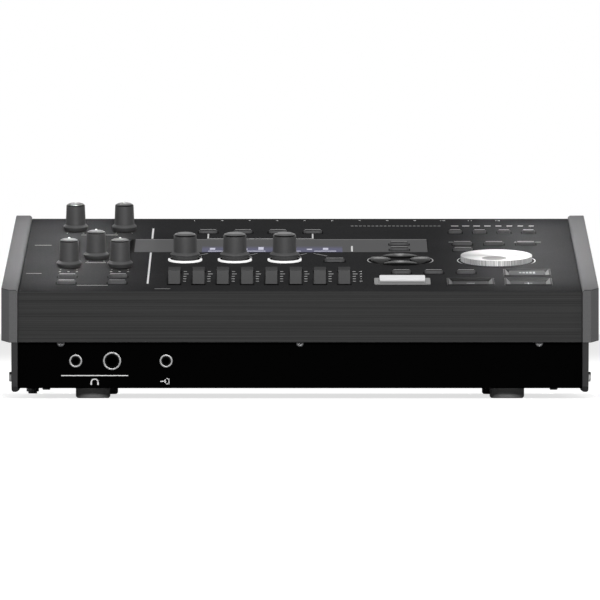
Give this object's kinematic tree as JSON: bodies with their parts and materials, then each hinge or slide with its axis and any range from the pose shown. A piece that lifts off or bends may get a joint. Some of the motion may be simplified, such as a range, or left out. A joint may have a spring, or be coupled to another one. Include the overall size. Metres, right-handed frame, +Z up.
{
  "type": "electronic drum module",
  "caption": "Sloped tabletop drum sound module with knobs, faders, keys, a jog dial, a display window and phone sockets between two side cheeks.",
  "frame": {"origin": "on the ground under the middle of the case", "axes": "+X to the user's right, +Y to the back, +Z up"},
  "size_m": [0.345, 0.27, 0.1157],
  "materials": {
    "panel": "fine-grain satin paint",
    "chassis": "matt black paint",
    "cheek": "fine-grain moulded",
    "window": "glossy smoked",
    "module": "matt",
    "board": "solder mask",
    "control_body": "moulded",
    "bezel": "satin",
    "socket": "moulded",
    "foot": "matt",
    "screw": "plated",
    "knob": "satin",
    "dial": "spun",
    "fader": "satin",
    "key": "satin",
    "cursor": "glossy",
    "lit_key": "milky, lit",
    "rocker": "satin"
  },
  "bodies": {
    "case": {"top_panel": "panel", "lower_chassis": "chassis", "left_cheek": "cheek", "right_cheek": "cheek", "display_window": "window", "display_module": "module", "circuit_boards": "board", "control_bodies": "control_body", "bezel_frames": "bezel", "sockets": "socket", "feet": "foot", "fasteners": "screw"},
    "knob_rear_left": {"knob_rear_left": "knob"},
    "knob_rear_right": {"knob_rear_right": "knob"},
    "knob_centre": {"knob_centre": "knob"},
    "knob_front_left": {"knob_front_left": "knob"},
    "knob_front_right": {"knob_front_right": "knob"},
    "encoder_knob_1": {"encoder_knob_1": "knob"},
    "encoder_knob_2": {"encoder_knob_2": "knob"},
    "encoder_knob_3": {"encoder_knob_3": "knob"},
    "jog_dial": {"jog_dial": "dial"},
    "fader_1": {"fader_1": "fader"},
    "fader_2": {"fader_2": "fader"},
    "fader_3": {"fader_3": "fader"},
    "fader_4": {"fader_4": "fader"},
    "fader_5": {"fader_5": "fader"},
    "fader_6": {"fader_6": "fader"},
    "fader_7": {"fader_7": "fader"},
    "fader_8": {"fader_8": "fader"},
    "cursor_right": {"cursor_right": "cursor"},
    "cursor_up": {"cursor_up": "cursor"},
    "cursor_left": {"cursor_left": "cursor"},
    "cursor_down": {"cursor_down": "cursor"},
    "enter_key": {"enter_key": "lit_key"},
    "minus_key": {"minus_key": "key"},
    "plus_key": {"plus_key": "key"},
    "preview_key": {"preview_key": "key"},
    "exit_key": {"exit_key": "key"},
    "function_key_1": {"function_key_1": "key"},
    "function_key_2": {"function_key_2": "key"},
    "function_key_3": {"function_key_3": "key"},
    "function_key_4": {"function_key_4": "key"},
    "page_key_1": {"page_key_1": "key"},
    "page_key_2": {"page_key_2": "key"},
    "edit_key_1": {"edit_key_1": "key"},
    "edit_key_2": {"edit_key_2": "key"},
    "edit_key_3": {"edit_key_3": "key"},
    "menu_key_1": {"menu_key_1": "key"},
    "menu_key_2": {"menu_key_2": "key"},
    "menu_key_3": {"menu_key_3": "key"},
    "menu_key_4": {"menu_key_4": "key"},
    "kit_key_1": {"kit_key_1": "key"},
    "kit_key_2": {"kit_key_2": "key"},
    "kit_key_3": {"kit_key_3": "key"},
    "kit_key_4": {"kit_key_4": "key"},
    "track_key_1": {"track_key_1": "key"},
    "track_key_2": {"track_key_2": "key"},
    "track_key_3": {"track_key_3": "key"},
    "track_key_4": {"track_key_4": "key"},
    "power_rocker": {"power_rocker": "rocker"}
  },
  "joints": [
    {"name": "knob_rear_left_turn", "type": "hinge", "parent": "case", "child": "knob_rear_left", "pos_m": [-0.135, 0.081, 0.09846], "axis": [0, -0.1692, 0.9856], "range_deg": [-150, 150]},
    {"name": "knob_rear_right_turn", "type": "hinge", "parent": "case", "child": "knob_rear_right", "pos_m": [-0.1057, 0.081, 0.09846], "axis": [0, -0.1692, 0.9856], "range_deg": [-150, 150]},
    {"name": "knob_centre_turn", "type": "hinge", "parent": "case", "child": "knob_centre", "pos_m": [-0.1203, -0.0198, 0.08116], "axis": [0, -0.1692, 0.9856], "range_deg": [-150, 150]},
    {"name": "knob_front_left_turn", "type": "hinge", "parent": "case", "child": "knob_front_left", "pos_m": [-0.1354, -0.0495, 0.07606], "axis": [0, -0.1692, 0.9856], "range_deg": [-150, 150]},
    {"name": "knob_front_right_turn", "type": "hinge", "parent": "case", "child": "knob_front_right", "pos_m": [-0.1055, -0.0495, 0.07606], "axis": [0, -0.1692, 0.9856], "range_deg": [-150, 150]},
    {"name": "encoder_knob_1_turn", "type": "hinge", "parent": "case", "child": "encoder_knob_1", "pos_m": [-0.0677, -0.026, 0.08009], "axis": [0, -0.1692, 0.9856], "continuous": true},
    {"name": "encoder_knob_2_turn", "type": "hinge", "parent": "case", "child": "encoder_knob_2", "pos_m": [-0.0384, -0.026, 0.08009], "axis": [0, -0.1692, 0.9856], "continuous": true},
    {"name": "encoder_knob_3_turn", "type": "hinge", "parent": "case", "child": "encoder_knob_3", "pos_m": [-0.0091, -0.026, 0.08009], "axis": [0, -0.1692, 0.9856], "continuous": true},
    {"name": "jog_dial_turn", "type": "hinge", "parent": "case", "child": "jog_dial", "pos_m": [0.1157, -0.0265, 0.08001], "axis": [0, -0.1692, 0.9856], "continuous": true},
    {"name": "fader_1_slide", "type": "slide", "parent": "case", "child": "fader_1", "axis": [0, 0.9856, 0.1692], "range_m": [0, 0.033]},
    {"name": "fader_2_slide", "type": "slide", "parent": "case", "child": "fader_2", "axis": [0, 0.9856, 0.1692], "range_m": [0, 0.033]},
    {"name": "fader_3_slide", "type": "slide", "parent": "case", "child": "fader_3", "axis": [0, 0.9856, 0.1692], "range_m": [0, 0.033]},
    {"name": "fader_4_slide", "type": "slide", "parent": "case", "child": "fader_4", "axis": [0, 0.9856, 0.1692], "range_m": [0, 0.033]},
    {"name": "fader_5_slide", "type": "slide", "parent": "case", "child": "fader_5", "axis": [0, 0.9856, 0.1692], "range_m": [0, 0.033]},
    {"name": "fader_6_slide", "type": "slide", "parent": "case", "child": "fader_6", "axis": [0, 0.9856, 0.1692], "range_m": [0, 0.033]},
    {"name": "fader_7_slide", "type": "slide", "parent": "case", "child": "fader_7", "axis": [0, 0.9856, 0.1692], "range_m": [0, 0.033]},
    {"name": "fader_8_slide", "type": "slide", "parent": "case", "child": "fader_8", "axis": [0, 0.9856, 0.1692], "range_m": [0, 0.033]},
    {"name": "cursor_right_press", "type": "slide", "parent": "case", "child": "cursor_right", "axis": [0, 0.1692, -0.9856], "range_m": [0, 0.0005], "stiffness_N_per_m": 400, "springref_m": -0.0003},
    {"name": "cursor_up_press", "type": "slide", "parent": "case", "child": "cursor_up", "axis": [0, 0.1692, -0.9856], "range_m": [0, 0.0005], "stiffness_N_per_m": 400, "springref_m": -0.0003},
    {"name": "cursor_left_press", "type": "slide", "parent": "case", "child": "cursor_left", "axis": [0, 0.1692, -0.9856], "range_m": [0, 0.0005], "stiffness_N_per_m": 400, "springref_m": -0.0003},
    {"name": "cursor_down_press", "type": "slide", "parent": "case", "child": "cursor_down", "axis": [0, 0.1692, -0.9856], "range_m": [0, 0.0005], "stiffness_N_per_m": 400, "springref_m": -0.0003},
    {"name": "enter_key_press", "type": "slide", "parent": "case", "child": "enter_key", "axis": [0, 0.1692, -0.9856], "range_m": [0, 0.0005], "stiffness_N_per_m": 400, "springref_m": -0.0003},
    {"name": "minus_key_press", "type": "slide", "parent": "case", "child": "minus_key", "axis": [0, 0.1692, -0.9856], "range_m": [0, 0.0005], "stiffness_N_per_m": 400, "springref_m": -0.0003},
    {"name": "plus_key_press", "type": "slide", "parent": "case", "child": "plus_key", "axis": [0, 0.1692, -0.9856], "range_m": [0, 0.0005], "stiffness_N_per_m": 400, "springref_m": -0.0003},
    {"name": "preview_key_press", "type": "slide", "parent": "case", "child": "preview_key", "axis": [0, 0.1692, -0.9856], "range_m": [0, 0.0005], "stiffness_N_per_m": 400, "springref_m": -0.0003},
    {"name": "exit_key_press", "type": "slide", "parent": "case", "child": "exit_key", "axis": [0, 0.1692, -0.9856], "range_m": [0, 0.0005], "stiffness_N_per_m": 400, "springref_m": -0.0003},
    {"name": "function_key_1_press", "type": "slide", "parent": "case", "child": "function_key_1", "axis": [0, 0.1692, -0.9856], "range_m": [0, 0.0005], "stiffness_N_per_m": 400, "springref_m": -0.0003},
    {"name": "function_key_2_press", "type": "slide", "parent": "case", "child": "function_key_2", "axis": [0, 0.1692, -0.9856], "range_m": [0, 0.0005], "stiffness_N_per_m": 400, "springref_m": -0.0003},
    {"name": "function_key_3_press", "type": "slide", "parent": "case", "child": "function_key_3", "axis": [0, 0.1692, -0.9856], "range_m": [0, 0.0005], "stiffness_N_per_m": 400, "springref_m": -0.0003},
    {"name": "function_key_4_press", "type": "slide", "parent": "case", "child": "function_key_4", "axis": [0, 0.1692, -0.9856], "range_m": [0, 0.0005], "stiffness_N_per_m": 400, "springref_m": -0.0003},
    {"name": "page_key_1_press", "type": "slide", "parent": "case", "child": "page_key_1", "axis": [0, 0.1692, -0.9856], "range_m": [0, 0.0005], "stiffness_N_per_m": 400, "springref_m": -0.0003},
    {"name": "page_key_2_press", "type": "slide", "parent": "case", "child": "page_key_2", "axis": [0, 0.1692, -0.9856], "range_m": [0, 0.0005], "stiffness_N_per_m": 400, "springref_m": -0.0003},
    {"name": "edit_key_1_press", "type": "slide", "parent": "case", "child": "edit_key_1", "axis": [0, 0.1692, -0.9856], "range_m": [0, 0.0005], "stiffness_N_per_m": 400, "springref_m": -0.0003},
    {"name": "edit_key_2_press", "type": "slide", "parent": "case", "child": "edit_key_2", "axis": [0, 0.1692, -0.9856], "range_m": [0, 0.0005], "stiffness_N_per_m": 400, "springref_m": -0.0003},
    {"name": "edit_key_3_press", "type": "slide", "parent": "case", "child": "edit_key_3", "axis": [0, 0.1692, -0.9856], "range_m": [0, 0.0005], "stiffness_N_per_m": 400, "springref_m": -0.0003},
    {"name": "menu_key_1_press", "type": "slide", "parent": "case", "child": "menu_key_1", "axis": [0, 0.1692, -0.9856], "range_m": [0, 0.0005], "stiffness_N_per_m": 400, "springref_m": -0.0003},
    {"name": "menu_key_2_press", "type": "slide", "parent": "case", "child": "menu_key_2", "axis": [0, 0.1692, -0.9856], "range_m": [0, 0.0005], "stiffness_N_per_m": 400, "springref_m": -0.0003},
    {"name": "menu_key_3_press", "type": "slide", "parent": "case", "child": "menu_key_3", "axis": [0, 0.1692, -0.9856], "range_m": [0, 0.0005], "stiffness_N_per_m": 400, "springref_m": -0.0003},
    {"name": "menu_key_4_press", "type": "slide", "parent": "case", "child": "menu_key_4", "axis": [0, 0.1692, -0.9856], "range_m": [0, 0.0005], "stiffness_N_per_m": 400, "springref_m": -0.0003},
    {"name": "kit_key_1_press", "type": "slide", "parent": "case", "child": "kit_key_1", "axis": [0, 0.1692, -0.9856], "range_m": [0, 0.0005], "stiffness_N_per_m": 400, "springref_m": -0.0003},
    {"name": "kit_key_2_press", "type": "slide", "parent": "case", "child": "kit_key_2", "axis": [0, 0.1692, -0.9856], "range_m": [0, 0.0005], "stiffness_N_per_m": 400, "springref_m": -0.0003},
    {"name": "kit_key_3_press", "type": "slide", "parent": "case", "child": "kit_key_3", "axis": [0, 0.1692, -0.9856], "range_m": [0, 0.0005], "stiffness_N_per_m": 400, "springref_m": -0.0003},
    {"name": "kit_key_4_press", "type": "slide", "parent": "case", "child": "kit_key_4", "axis": [0, 0.1692, -0.9856], "range_m": [0, 0.0005], "stiffness_N_per_m": 400, "springref_m": -0.0003},
    {"name": "track_key_1_press", "type": "slide", "parent": "case", "child": "track_key_1", "axis": [0, 0.1692, -0.9856], "range_m": [0, 0.0005], "stiffness_N_per_m": 400, "springref_m": -0.0003},
    {"name": "track_key_2_press", "type": "slide", "parent": "case", "child": "track_key_2", "axis": [0, 0.1692, -0.9856], "range_m": [0, 0.0005], "stiffness_N_per_m": 400, "springref_m": -0.0003},
    {"name": "track_key_3_press", "type": "slide", "parent": "case", "child": "track_key_3", "axis": [0, 0.1692, -0.9856], "range_m": [0, 0.0005], "stiffness_N_per_m": 400, "springref_m": -0.0003},
    {"name": "track_key_4_press", "type": "slide", "parent": "case", "child": "track_key_4", "axis": [0, 0.1692, -0.9856], "range_m": [0, 0.0005], "stiffness_N_per_m": 400, "springref_m": -0.0003},
    {"name": "power_rocker_tilt", "type": "hinge", "parent": "case", "child": "power_rocker", "pos_m": [-0.138, 0.1227, 0.038], "axis": [1, 0, 0], "range_deg": [0, 20]}
  ]
}
